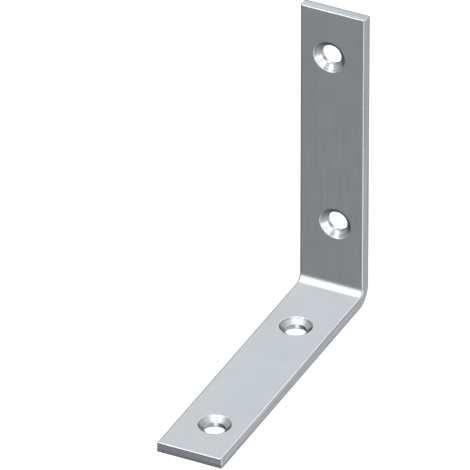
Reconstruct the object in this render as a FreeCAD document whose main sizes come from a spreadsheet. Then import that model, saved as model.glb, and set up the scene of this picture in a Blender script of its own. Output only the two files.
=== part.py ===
import FreeCAD, Part
import os

import Sketcher

# Angle bracket: one flat steel strip, cut to length, drilled and countersunk for four screws,
# then bent once to a right angle. X runs across the strip. The lower leg lies along Y with its
# outer face on Z = 0 and its cut end towards -Y, and the upright stands at the +Y end. The
# origin is under the middle of the bracket's own box. Lengths are in millimetres.

# Driving dimensions: name, value, meaning
DIMENSIONS = (
    ("lower_leg_length", 100.0, "cut end of the lower leg to the outer face of the upright"),
    ("upright_height", 100.0, "outer face of the lower leg to the cut end of the upright"),
    ("strip_width", 21.2, "width of the flat strip"),
    ("strip_thickness", 3.4, "thickness of the flat strip"),
    ("inner_bend_radius", 2.4, "radius inside the bend"),
    ("rolled_edge_radius", 0.7, "rounding of the strip's long edges on its inner side"),
    ("edge_radius", 0.3, "rounding of all other edges, worn off by tumbling"),
    ("screw_hole_diameter", 6.5, "straight part of each screw hole"),
    ("countersink_diameter", 10.2, "mouth of each countersink"),
    ("countersink_angle", 100.0, "full angle of each countersink, in degrees"),
    ("rim_radius", 0.35, "rounding of the countersink's mouth"),
    ("hole_exit_chamfer", 0.5, "edge broken where a screw hole leaves the outer face"),
    ("lower_inner_hole_distance", 26.8, "outer face of the upright to the lower leg's inner hole"),
    ("lower_end_hole_margin", 15.8, "cut end of the lower leg to its end hole"),
    ("lower_hole_stagger", 0.55, "sideways offset of the lower leg's holes, one each way"),
    ("upright_inner_hole_height", 26.2, "outer face of the lower leg to the upright's inner hole"),
    ("upright_end_hole_margin", 15.8, "cut end of the upright to its end hole"),
    ("upright_hole_stagger", 1.1, "sideways offset of the upright's holes, one each way"),
)

# Largest rounding or chamfer of an edge, as a share of the wall that the edge is on
WALL_SHARE = 0.4
TOLERANCE = 1e-6

document = FreeCAD.newDocument("AngleBracket")


def make_sheet(name):
    """Put the driving dimensions in a spreadsheet, one named cell each."""
    sheet = document.addObject("Spreadsheet::Sheet", name)
    for row, (alias, value, meaning) in enumerate(DIMENSIONS, start=1):
        sheet.set(f"A{row}", alias)
        sheet.set(f"B{row}", str(value))
        sheet.set(f"C{row}", meaning)
        sheet.setAlias(f"B{row}", alias)
    document.recompute()
    return sheet


sizes = make_sheet("Sizes")


def size(alias):
    """Read one driving dimension back from the sheet."""
    return float(sizes.get(alias))


def sketch_on(body, name, plane_role):
    """Add a sketch to the body, attached flat on one of its own origin planes."""
    plane = next(item for item in body.Origin.OriginFeatures if item.Role == plane_role)
    sketch = body.newObject("Sketcher::SketchObject", name)
    sketch.AttachmentSupport = [(plane, "")]
    sketch.MapMode = "FlatFace"
    return sketch


def bind(sketch, kind, geometry, name, expression):
    """Add a named dimension to a sketch and tie it to the sheet."""
    index = sketch.addConstraint(Sketcher.Constraint(kind, *geometry))
    sketch.renameConstraint(index, name)
    sketch.setExpression(f"Constraints.{name}", expression)


# Ends of a sketch element, as the sketcher numbers them
START, END, CENTRE = 1, 2, 3
ORIGIN_POINT = (-1, 1)
HORIZONTAL_AXIS = -1


def point(y, z):
    """A point in a sketch's own plane."""
    return FreeCAD.Vector(y, z, 0)


def draw_side_profile(sketch):
    """Draw the bent strip seen from its side: two legs joined by two arcs about one centre."""
    back = size("lower_leg_length") / 2
    top = size("upright_height")
    wall = size("strip_thickness")
    inner = size("inner_bend_radius")
    outer = inner + wall
    bend_y = back - outer
    bend_z = outer

    def arc(radius):
        start = point(bend_y, bend_z - radius)
        middle = point(bend_y + radius / 2 ** 0.5, bend_z - radius / 2 ** 0.5)
        end = point(bend_y + radius, bend_z)
        return Part.Arc(start, middle, end)

    def line(first, second):
        return sketch.addGeometry(Part.LineSegment(point(*first), point(*second)), False)

    underside = line((-back, 0), (bend_y, 0))
    outer_arc = sketch.addGeometry(arc(outer), False)
    back_face = line((back, bend_z), (back, top))
    top_end = line((back, top), (back - wall, top))
    front_face = line((back - wall, top), (back - wall, bend_z))
    inner_arc = sketch.addGeometry(arc(inner), False)
    upper_side = line((bend_y, wall), (-back, wall))
    tip_end = line((-back, wall), (-back, 0))

    for flat in (underside, top_end, upper_side):
        sketch.addConstraint(Sketcher.Constraint("Horizontal", flat))
    for upright in (back_face, front_face, tip_end):
        sketch.addConstraint(Sketcher.Constraint("Vertical", upright))
    for first, second in (
        (back_face, top_end),
        (top_end, front_face),
        (upper_side, tip_end),
        (tip_end, underside),
    ):
        sketch.addConstraint(Sketcher.Constraint("Coincident", first, END, second, START))
    for first, first_end, second, second_end in (
        (underside, END, outer_arc, START),
        (outer_arc, END, back_face, START),
        (front_face, END, inner_arc, END),
        (inner_arc, START, upper_side, START),
    ):
        sketch.addConstraint(
            Sketcher.Constraint("Tangent", first, first_end, second, second_end)
        )
    sketch.addConstraint(
        Sketcher.Constraint("Coincident", inner_arc, CENTRE, outer_arc, CENTRE)
    )
    sketch.addConstraint(
        Sketcher.Constraint("PointOnObject", underside, START, HORIZONTAL_AXIS)
    )

    bind(
        sketch,
        "DistanceX",
        (tip_end, END, *ORIGIN_POINT, back),
        "tip_to_middle",
        "Sizes.lower_leg_length / 2",
    )
    bind(
        sketch,
        "DistanceX",
        (tip_end, END, back_face, START, 2 * back),
        "leg_length",
        "Sizes.lower_leg_length",
    )
    bind(
        sketch,
        "DistanceY",
        (*ORIGIN_POINT, back_face, END, top),
        "height",
        "Sizes.upright_height",
    )
    bind(
        sketch,
        "DistanceX",
        (top_end, END, top_end, START, wall),
        "thickness",
        "Sizes.strip_thickness",
    )
    bind(sketch, "Radius", (inner_arc, inner), "bend_radius", "Sizes.inner_bend_radius")


def draw_screw_holes(sketch, centres):
    """Draw one circle for each screw hole; centres give a name, a place and two expressions."""
    radius = size("screw_hole_diameter") / 2
    for name, (across, along), (across_expression, along_expression) in centres:
        circle = sketch.addGeometry(
            Part.Circle(point(across, along), FreeCAD.Vector(0, 0, 1), radius), False
        )
        bind(
            sketch,
            "DistanceX",
            (*ORIGIN_POINT, circle, CENTRE, across),
            f"{name}_across",
            across_expression,
        )
        bind(
            sketch,
            "DistanceY",
            (*ORIGIN_POINT, circle, CENTRE, along),
            f"{name}_along",
            along_expression,
        )
        bind(
            sketch,
            "Diameter",
            (circle, 2 * radius),
            f"{name}_diameter",
            "Sizes.screw_hole_diameter",
        )


def drill(body, name, sketch):
    """Drill and countersink the sketched holes through the strip from its inner face."""
    document.recompute()
    hole = body.newObject("PartDesign::Hole", name)
    hole.Profile = sketch
    hole.ThreadType = "None"
    hole.DepthType = "ThroughAll"
    hole.HoleCutType = "Countersink"
    hole.HoleCutCustomValues = True
    hole.setExpression("Diameter", "Sizes.screw_hole_diameter")
    hole.setExpression("HoleCutDiameter", "Sizes.countersink_diameter")
    hole.setExpression("HoleCutCountersinkAngle", "Sizes.countersink_angle")
    document.recompute()
    return hole


def circles_on(shape, radius, on_face):
    """Name the round edges of one radius whose centres lie on the given faces of the strip."""
    names = []
    for number, edge in enumerate(shape.Edges, start=1):
        if edge.Degenerated or not isinstance(edge.Curve, Part.Circle):
            continue
        circle = edge.Curve
        if abs(circle.Radius - radius) < TOLERANCE and on_face(circle.Center):
            names.append(f"Edge{number}")
    return names


def long_inner_edges(shape):
    """Name the long edges of the strip's inner side: on each side two lines and an arc."""
    half_width = size("strip_width") / 2
    leg_height = size("strip_thickness")
    upright_place = size("lower_leg_length") / 2 - size("strip_thickness")
    names = []
    for number, edge in enumerate(shape.Edges, start=1):
        middle = edge.CenterOfMass
        in_bend = isinstance(edge.Curve, Part.Circle) and (
            abs(edge.Curve.Radius - size("inner_bend_radius")) < TOLERANCE
        )
        on_leg = abs(middle.z - leg_height) < TOLERANCE
        on_upright = abs(middle.y - upright_place) < TOLERANCE
        at_side = abs(abs(middle.x) - half_width) < TOLERANCE
        if at_side and (in_bend or on_leg or on_upright):
            names.append(f"Edge{number}")
    return names


def make_bracket():
    """Fold the strip, round its edges, and make its screw holes."""
    body = document.addObject("PartDesign::Body", "angle_bracket")
    body.Label = "angle_bracket"
    body.Placement = FreeCAD.Placement()

    profile = sketch_on(body, "side_profile", "YZ_Plane")
    draw_side_profile(profile)
    document.recompute()

    strip = body.newObject("PartDesign::Pad", "folded_strip")
    strip.Profile = profile
    strip.SideType = "Symmetric"
    strip.setExpression("Length", "Sizes.strip_width")
    document.recompute()

    rolled = body.newObject("PartDesign::Fillet", "rolled_edges")
    rolled.Base = (strip, long_inner_edges(strip.Shape))
    rolled.setExpression(
        "Radius", f"min(Sizes.rolled_edge_radius; Sizes.strip_thickness * {WALL_SHARE})"
    )
    document.recompute()

    rounding = body.newObject("PartDesign::Fillet", "edge_rounding")
    rounding.Base = (rolled, [""])
    rounding.UseAllEdges = True
    rounding.setExpression("Radius", f"min(Sizes.edge_radius; Sizes.strip_thickness * {WALL_SHARE})")
    document.recompute()

    half_leg = size("lower_leg_length") / 2
    height = size("upright_height")
    wall = size("strip_thickness")
    lower_stagger = size("lower_hole_stagger")
    upright_stagger = size("upright_hole_stagger")

    lower_sketch = sketch_on(body, "lower_hole_places", "XY_Plane")
    lower_sketch.setExpression(".AttachmentOffset.Base.z", "Sizes.strip_thickness")
    draw_screw_holes(
        lower_sketch,
        (
            (
                "inner",
                (-lower_stagger, half_leg - size("lower_inner_hole_distance")),
                (
                    "-Sizes.lower_hole_stagger",
                    "Sizes.lower_leg_length / 2 - Sizes.lower_inner_hole_distance",
                ),
            ),
            (
                "end",
                (lower_stagger, size("lower_end_hole_margin") - half_leg),
                (
                    "Sizes.lower_hole_stagger",
                    "Sizes.lower_end_hole_margin - Sizes.lower_leg_length / 2",
                ),
            ),
        ),
    )
    drill(body, "lower_screw_holes", lower_sketch)

    upright_sketch = sketch_on(body, "upright_hole_places", "XZ_Plane")
    upright_sketch.setExpression(
        ".AttachmentOffset.Base.z", "Sizes.strip_thickness - Sizes.lower_leg_length / 2"
    )
    draw_screw_holes(
        upright_sketch,
        (
            (
                "inner",
                (upright_stagger, size("upright_inner_hole_height")),
                ("Sizes.upright_hole_stagger", "Sizes.upright_inner_hole_height"),
            ),
            (
                "end",
                (-upright_stagger, height - size("upright_end_hole_margin")),
                (
                    "-Sizes.upright_hole_stagger",
                    "Sizes.upright_height - Sizes.upright_end_hole_margin",
                ),
            ),
        ),
    )
    drilled = drill(body, "upright_screw_holes", upright_sketch)

    def on_inner_face(centre):
        on_leg = abs(centre.z - wall) < TOLERANCE
        on_upright = abs(centre.y - (half_leg - wall)) < TOLERANCE
        return on_leg or on_upright

    def on_outer_face(centre):
        return abs(centre.z) < TOLERANCE or abs(centre.y - half_leg) < TOLERANCE

    rims = body.newObject("PartDesign::Fillet", "countersink_rims")
    rims.Base = (
        drilled,
        circles_on(drilled.Shape, size("countersink_diameter") / 2, on_inner_face),
    )
    rims.setExpression("Radius", "Sizes.rim_radius")
    document.recompute()

    exits = body.newObject("PartDesign::Chamfer", "hole_exits")
    exits.Base = (rims, circles_on(rims.Shape, size("screw_hole_diameter") / 2, on_outer_face))
    cone_depth = (
        "(Sizes.countersink_diameter - Sizes.screw_hole_diameter) / 2"
        " / tan(Sizes.countersink_angle / 2 * 1 deg)"
    )
    exits.setExpression(
        "Size",
        f"min(Sizes.hole_exit_chamfer; (Sizes.strip_thickness - {cone_depth}) * {WALL_SHARE})",
    )
    document.recompute()
    return body


def check_document(bodies):
    """Stop before anything is written if a feature failed or a sub-part is no sound solid."""
    for item in document.Objects:
        if {"Invalid", "Error"} & set(item.State):
            raise RuntimeError(f"{item.Name} failed: {item.State}")
        if item.isDerivedFrom("Sketcher::SketchObject") and not item.FullyConstrained:
            raise RuntimeError(f"{item.Name} is not fully constrained")
    for body in bodies:
        shape = body.Shape
        if shape.isNull() or not shape.isValid() or len(shape.Solids) != 1:
            raise RuntimeError(f"{body.Label} is not one valid solid")


bracket = make_bracket()
check_document([bracket])
os.makedirs("parts", exist_ok=True)
bracket.Shape.exportStep(f"parts/{bracket.Label}.step")
print(
    f"{bracket.Label}: volume {bracket.Shape.Volume:.1f} mm3,",
    f"box {bracket.Shape.BoundBox}",
)
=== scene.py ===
import math

import bpy
from mathutils import Matrix, Vector


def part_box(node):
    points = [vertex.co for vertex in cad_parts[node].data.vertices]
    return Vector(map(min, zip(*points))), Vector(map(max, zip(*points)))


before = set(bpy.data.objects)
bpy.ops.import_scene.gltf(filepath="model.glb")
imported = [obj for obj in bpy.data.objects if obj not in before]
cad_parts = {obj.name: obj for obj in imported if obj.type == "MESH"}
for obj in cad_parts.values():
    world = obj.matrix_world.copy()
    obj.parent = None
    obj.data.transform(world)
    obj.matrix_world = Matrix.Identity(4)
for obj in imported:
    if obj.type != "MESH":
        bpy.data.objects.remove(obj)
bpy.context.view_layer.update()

# The folded strip
# One flat steel strip, sheared to length, countersunk from inside the corner and bent once to a
# right angle. It was tumbled and then zinc plated, so every edge is soft and catches the light.
mm = 0.001
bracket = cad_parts["angle_bracket"]
lowest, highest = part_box("angle_bracket")
strip_width = highest.x - lowest.x
strip_thickness = 3.4 * mm
inner_bend_radius = 2.4 * mm
outer_bend_radius = inner_bend_radius + strip_thickness
bend_centre = Vector((0, highest.y - outer_bend_radius, lowest.z + outer_bend_radius))
face_finish_start = 0.05 * mm
face_finish_whole = 0.01 * mm

plating_colour = "C3C8CB"
cloud_colour = "B7BDC1"
dull_mark_colour = "ADB1B8"
bright_mark_colour = "CED2D8"
torn_colour = "AAAEB5"
cloud_size = 9 * mm
cloud_detail = 2.0
streak_detail = 3.0
streak_dark_limit = 0.35
streak_light_limit = 0.65
rolled_roughness = 0.34
grain_width = 0.5 * mm
grain_length = 9 * mm
grain_roughness = 0.025
tool_mark_pitch = 0.65 * mm
tool_mark_length = 50 * mm
dull_mark_roughness = 0.23
bright_mark_roughness = 0.32
tool_mark_height = 0.003 * mm
torn_depth = 1.0 * mm
torn_raggedness = 0.4 * mm
sheared_zone = 0.8 * mm
sheared_fade = 0.8 * mm

# A Mix node's two numbers, its two colours and its mixed colour, by their places in its sockets
number_a = 2
number_b = 3
colour_a = 6
colour_b = 7
mixed_colour = 2


def linear(hex_colour):
    """Turn an sRGB hex colour into the linear numbers that a shader reads, by the sRGB formula."""
    channels = [int(hex_colour[i:i + 2], 16) / 255 for i in (0, 2, 4)]
    return (*(c / 12.92 if c <= 0.04045 else ((c + 0.055) / 1.055) ** 2.4 for c in channels), 1)


def add_node(tree, kind, inputs, **settings):
    """Add a node with its settings, then fill or link its inputs, and return its outputs.

    An input goes by its name, or by its place where several have one name."""
    node = tree.nodes.new(kind)
    for name, value in settings.items():
        setattr(node, name, value)
    for name, value in inputs.items():
        if isinstance(value, bpy.types.NodeSocket):
            tree.links.new(value, node.inputs[name])
        else:
            node.inputs[name].default_value = value
    return node.outputs


def depth_in_strip(tree, from_centre):
    """Depth under the strip's outer face, which follows the strip round its bend."""
    outward = add_node(
        tree, "ShaderNodeVectorMath", {0: from_centre, 1: (0, 1, -1)}, operation="MULTIPLY"
    )["Vector"]
    past_centre = add_node(
        tree, "ShaderNodeVectorMath", {0: outward, 1: (0, 0, 0)}, operation="MAXIMUM"
    )["Vector"]
    reach = add_node(tree, "ShaderNodeVectorMath", {0: past_centre}, operation="LENGTH")["Value"]
    return add_node(
        tree, "ShaderNodeMath", {0: outer_bend_radius, 1: reach}, operation="SUBTRACT"
    )["Value"]


def rolled_skin_mask(tree, depth):
    """One on the strip's rolled faces and round its bend; nothing on edges, ends and holes."""
    half_thickness = strip_thickness / 2
    from_middle = add_node(
        tree, "ShaderNodeMath", {0: depth, 1: half_thickness}, operation="SUBTRACT"
    )["Value"]
    height = add_node(tree, "ShaderNodeMath", {0: from_middle}, operation="ABSOLUTE")["Value"]
    return add_node(
        tree,
        "ShaderNodeMapRange",
        {
            "Value": height,
            "From Min": half_thickness - face_finish_start,
            "From Max": half_thickness - face_finish_whole,
        },
    )["Result"]


def sheared_edge_mask(tree, from_centre):
    """One along the strip's two long sides and at its ends, and nothing in the screw holes."""
    parts = add_node(tree, "ShaderNodeSeparateXYZ", {0: from_centre})
    beside = add_node(tree, "ShaderNodeMath", {0: parts["X"]}, operation="ABSOLUTE")["Value"]
    # The two sides, the lower leg's end and the upright's end: what is inside is below zero
    side = (beside, strip_width / 2)
    lower_end = (lowest.y - bend_centre.y, parts["Y"])
    upper_end = (parts["Z"], highest.z - bend_centre.z)
    nearest = -strip_width
    for place, limit in (side, lower_end, upper_end):
        past_limit = add_node(
            tree, "ShaderNodeMath", {0: place, 1: limit}, operation="SUBTRACT"
        )["Value"]
        nearest = add_node(
            tree, "ShaderNodeMath", {0: past_limit, 1: nearest}, operation="MAXIMUM"
        )["Value"]
    return add_node(
        tree,
        "ShaderNodeMapRange",
        {"Value": nearest, "From Min": -sheared_zone - sheared_fade, "From Max": -sheared_zone},
    )["Result"]


def streaks(tree, first, second, third, width, length):
    """Noise of one width along its first coordinate, drawn out along the other two, from zero to
    one with its contrast raised."""
    place = add_node(tree, "ShaderNodeCombineXYZ", {0: first, 1: second, 2: third})["Vector"]
    drawn_out = add_node(
        tree,
        "ShaderNodeVectorMath",
        {0: place, 1: (1 / width, 1 / length, 1 / length)},
        operation="MULTIPLY",
    )["Vector"]
    noise = add_node(
        tree, "ShaderNodeTexNoise", {"Vector": drawn_out, "Scale": 1.0, "Detail": streak_detail}
    )["Fac"]
    return add_node(
        tree,
        "ShaderNodeMapRange",
        {"Value": noise, "From Min": streak_dark_limit, "From Max": streak_light_limit},
    )["Result"]


def make_zinc_plated_steel():
    """Bright zinc plating on rolled steel: satin faces with a faint grain along the strip and a
    faint cloud, and brighter edges, ends and screw holes that keep the marks of their tools."""
    material = bpy.data.materials.new("zinc_plated_steel")
    material.use_nodes = True
    tree = material.node_tree
    tree.nodes.clear()
    place = add_node(tree, "ShaderNodeTexCoord", {})["Object"]
    from_centre = add_node(
        tree, "ShaderNodeVectorMath", {0: place, 1: bend_centre}, operation="SUBTRACT"
    )["Vector"]
    parts = add_node(tree, "ShaderNodeSeparateXYZ", {0: from_centre})
    across = parts["X"]
    along = add_node(
        tree, "ShaderNodeMath", {0: parts["Y"], 1: parts["Z"]}, operation="ADD"
    )["Value"]
    depth = depth_in_strip(tree, from_centre)
    rolled = rolled_skin_mask(tree, depth)
    sheared = sheared_edge_mask(tree, from_centre)

    # Rolling drew the grain out along the strip; it is drawn wider than the real one to show
    grain = streaks(tree, across, along, depth, grain_width, grain_length)
    # Marks at one depth are lines along the sheared edges and rings in the screw holes, and they
    # are drawn coarser than the real ones to show
    tool_marks = streaks(tree, depth, along, across, tool_mark_pitch, tool_mark_length)
    # The plating took a little darker in places
    cloud = add_node(
        tree,
        "ShaderNodeTexNoise",
        {"Vector": place, "Scale": 1 / cloud_size, "Detail": cloud_detail},
    )["Fac"]

    face_roughness = add_node(
        tree,
        "ShaderNodeMapRange",
        {
            "Value": grain,
            "To Min": rolled_roughness - grain_roughness,
            "To Max": rolled_roughness + grain_roughness,
        },
    )["Result"]
    tool_roughness = add_node(
        tree,
        "ShaderNodeMapRange",
        {
            "Value": tool_marks,
            "To Min": dull_mark_roughness,
            "To Max": bright_mark_roughness,
        },
    )["Result"]
    roughness = add_node(
        tree,
        "ShaderNodeMix",
        {0: rolled, number_a: tool_roughness, number_b: face_roughness},
        data_type="FLOAT",
    )["Result"]
    clouded = add_node(
        tree,
        "ShaderNodeMix",
        {0: cloud, colour_a: linear(plating_colour), colour_b: linear(cloud_colour)},
        data_type="RGBA",
    )[mixed_colour]
    marked = add_node(
        tree,
        "ShaderNodeMix",
        {0: tool_marks, colour_a: linear(dull_mark_colour), colour_b: linear(bright_mark_colour)},
        data_type="RGBA",
    )[mixed_colour]
    # The shear cut cleanly at first and tore the last third, next to the outer face
    ragged_depth = add_node(
        tree,
        "ShaderNodeMath",
        {0: tool_marks, 1: torn_raggedness, 2: depth},
        operation="MULTIPLY_ADD",
    )["Value"]
    torn = add_node(
        tree,
        "ShaderNodeMapRange",
        {
            "Value": ragged_depth,
            "From Min": torn_depth + torn_raggedness,
            "From Max": torn_depth,
            "To Max": sheared,
        },
    )["Result"]
    worked = add_node(
        tree,
        "ShaderNodeMix",
        {0: torn, colour_a: marked, colour_b: linear(torn_colour)},
        data_type="RGBA",
    )[mixed_colour]
    colour = add_node(
        tree, "ShaderNodeMix", {0: rolled, colour_a: worked, colour_b: clouded}, data_type="RGBA"
    )[mixed_colour]
    off_faces = add_node(tree, "ShaderNodeMath", {0: 1.0, 1: rolled}, operation="SUBTRACT")["Value"]
    bump = add_node(
        tree,
        "ShaderNodeBump",
        {"Strength": off_faces, "Distance": tool_mark_height, "Height": tool_marks},
    )["Normal"]
    shader = add_node(
        tree,
        "ShaderNodeBsdfPrincipled",
        {"Base Color": colour, "Metallic": 1.0, "Roughness": roughness, "Normal": bump},
    )["BSDF"]
    add_node(tree, "ShaderNodeOutputMaterial", {"Surface": shader})
    return material


bracket.data.materials.clear()
bracket.data.materials.append(make_zinc_plated_steel())
bracket.visible_glossy = False
bracket.visible_shadow = False

# The view
# A long lens from the front right and above, as in a catalogue picture: the upright's edges stay
# nearly parallel and the lower leg points at the lower left. Tones are shown as they are.
camera_azimuth = math.radians(25.83)
camera_elevation = math.radians(33.18)
camera_distance = 4000 * mm
camera_reach = 16000 * mm
photo_width = 470
pixels_per_mm = 3.404
aim_height = 40 * mm
aim_across = -8.42 * mm
aim_up = 7.86 * mm

right = Vector((math.cos(camera_azimuth), math.sin(camera_azimuth), 0))
back = Vector(
    (
        math.sin(camera_azimuth) * math.cos(camera_elevation),
        -math.cos(camera_azimuth) * math.cos(camera_elevation),
        math.sin(camera_elevation),
    )
)
up = back.cross(right)
aim = Vector((0, 0, aim_height)) + aim_across * right + aim_up * up
camera_data = bpy.data.cameras.new("catalogue_lens")
camera_data.lens = pixels_per_mm / mm * camera_distance / photo_width * camera_data.sensor_width
camera_data.clip_end = camera_reach
camera = bpy.data.objects.new("catalogue_camera", camera_data)
camera.matrix_world = Matrix.Translation(aim + camera_distance * back) @ Matrix(
    (right, up, back)
).transposed().to_4x4()
bpy.context.scene.collection.objects.link(camera)
bpy.context.scene.camera = camera
bpy.context.scene.view_settings.view_transform = "Standard"

# The floor
# A translucent white sheet lit from below, as on a catalogue table, so that the bracket throws
# no shadow. The metal mirrors the room and not the sheet.
floor_size = 6000 * mm
floor_glow = 0.9
floor_colour = "808080"
glow_colour = "FFFFFF"


def make_lit_sheet():
    """Translucent white acrylic, evenly lit from below, so it looks plain white."""
    material = bpy.data.materials.new("lit_white_acrylic")
    material.use_nodes = True
    shader = material.node_tree.nodes["Principled BSDF"]
    shader.inputs["Base Color"].default_value = linear(floor_colour)
    shader.inputs["Roughness"].default_value = 1.0
    shader.inputs["Specular IOR Level"].default_value = 0.0
    shader.inputs["Emission Color"].default_value = linear(glow_colour)
    shader.inputs["Emission Strength"].default_value = floor_glow
    return material


bpy.ops.mesh.primitive_plane_add(size=floor_size, location=(0, 0, lowest.z))
floor = bpy.context.active_object
floor.name = "floor"
floor.data.materials.append(make_lit_sheet())
floor.visible_glossy = False
floor.visible_shadow = False

# The light
# Soft boxes stand where the bend, the edges and the countersinks mirror them, at one distance: an
# arch over the left side from the front to overhead, and single ones to the right, overhead, low
# in front and high behind. Their sizes are in metres.
bracket_middle = Vector((0, 0, 50 * mm))
light_distance = 2.0
arch_side = 0.366
arch_reach = math.sqrt(1 - arch_side ** 2)
arch_box_height = 1.5


def add_softbox(name, towards, width, height, radiance):
    """Put a soft box in a direction from the bracket, facing it, of an even brightness."""
    data = bpy.data.lights.new(name, "AREA")
    data.shape = "RECTANGLE"
    data.size = width
    data.size_y = height
    data.energy = radiance * math.pi * width * height
    box = bpy.data.objects.new(name, data)
    direction = Vector(towards).normalized()
    box.location = bracket_middle + light_distance * direction
    box.rotation_mode = "QUATERNION"
    box.rotation_quaternion = direction.to_track_quat("Z", "Y")
    box.visible_camera = False
    bpy.context.scene.collection.objects.link(box)


def add_arch_softbox(name, climb, width, radiance):
    """Put a soft box on the arch, at so many degrees of climb from the front."""
    angle = math.radians(climb)
    towards = (-arch_side, -arch_reach * math.cos(angle), arch_reach * math.sin(angle))
    add_softbox(name, towards, width, arch_box_height, radiance)


add_arch_softbox("arch_softbox_1", climb=25, width=0.3, radiance=3.3)
add_arch_softbox("arch_softbox_2", climb=61, width=0.3, radiance=3.3)
add_arch_softbox("arch_softbox_3", climb=97, width=0.56, radiance=1.8)
add_softbox(
    "right_softbox_low", towards=(0.72, -0.69, -0.05), width=0.85, height=0.82, radiance=1.6
)
add_softbox(
    "right_softbox_high", towards=(0.43, -0.79, 0.44), width=0.88, height=1.2, radiance=1.3
)
add_softbox("top_softbox", towards=(0.2, -0.3, 0.93), width=1.0, height=0.6, radiance=0.8)
add_softbox(
    "front_softbox_low", towards=(0.17, -0.82, -0.545), width=1.28, height=0.63, radiance=1.55
)
add_softbox("back_softbox_high", towards=(0.15, 0.755, 0.64), width=1.07, height=0.7, radiance=1.0)

# The room
# A pale room, lighter overhead and to the right, with black and grey cards hung out of the
# picture: metal needs something dark to mirror, or its outline is lost against a white floor.
wall_colour = "FFFFFF"
room_level = 0.79
room_slope = Vector((0.3, 0.075, 0.6))
# Each card lies in a direction from the bracket. It is whole so many degrees round there, fades
# out to a wider angle, and has a level of its own
cards = (
    {"towards": (-0.6, 0.55, -0.58), "whole": 37, "faded": 49, "card_level": 0.1},
    {"towards": (0.5, 0.75, 0.43), "whole": 20, "faded": 34, "card_level": 0.6},
    {"towards": (0.7, 0.15, 0.7), "whole": 14, "faded": 24, "card_level": 0.9},
    {"towards": (-0.87, 0.05, 0.49), "whole": 14, "faded": 26, "card_level": 0.6},
    {"towards": (0.74, -0.6, 0.31), "whole": 9, "faded": 20, "card_level": 0.7},
    {"towards": (0.09, 0.99, 0.03), "whole": 7, "faded": 17, "card_level": 0.1},
    {"towards": (-0.12, -0.75, 0.65), "whole": 8, "faded": 18, "card_level": 0.7},
)


def hang_card(tree, direction, level, towards, whole, faded, card_level):
    """Cover part of the room's level with a soft-edged card."""
    nearness = add_node(
        tree,
        "ShaderNodeVectorMath",
        {0: direction, 1: Vector(towards).normalized()},
        operation="DOT_PRODUCT",
    )["Value"]
    covered = add_node(
        tree,
        "ShaderNodeMapRange",
        {
            "Value": nearness,
            "From Min": math.cos(math.radians(faded)),
            "From Max": math.cos(math.radians(whole)),
        },
        interpolation_type="SMOOTHSTEP",
    )["Result"]
    return add_node(
        tree,
        "ShaderNodeMix",
        {0: covered, number_a: level, number_b: card_level},
        data_type="FLOAT",
    )["Result"]


def make_pale_room():
    """A pale room whose level rises along one direction, with its cards."""
    world = bpy.data.worlds.new("pale_room")
    world.use_nodes = True
    tree = world.node_tree
    direction = add_node(tree, "ShaderNodeTexCoord", {})["Generated"]
    slope = add_node(
        tree, "ShaderNodeVectorMath", {0: direction, 1: room_slope}, operation="DOT_PRODUCT"
    )["Value"]
    level = add_node(tree, "ShaderNodeMath", {0: slope, 1: room_level}, operation="ADD")["Value"]
    for card in cards:
        level = hang_card(tree, direction, level, **card)
    background = tree.nodes["Background"]
    background.inputs["Color"].default_value = linear(wall_colour)
    tree.links.new(level, background.inputs["Strength"])
    bpy.context.scene.world = world


make_pale_room()
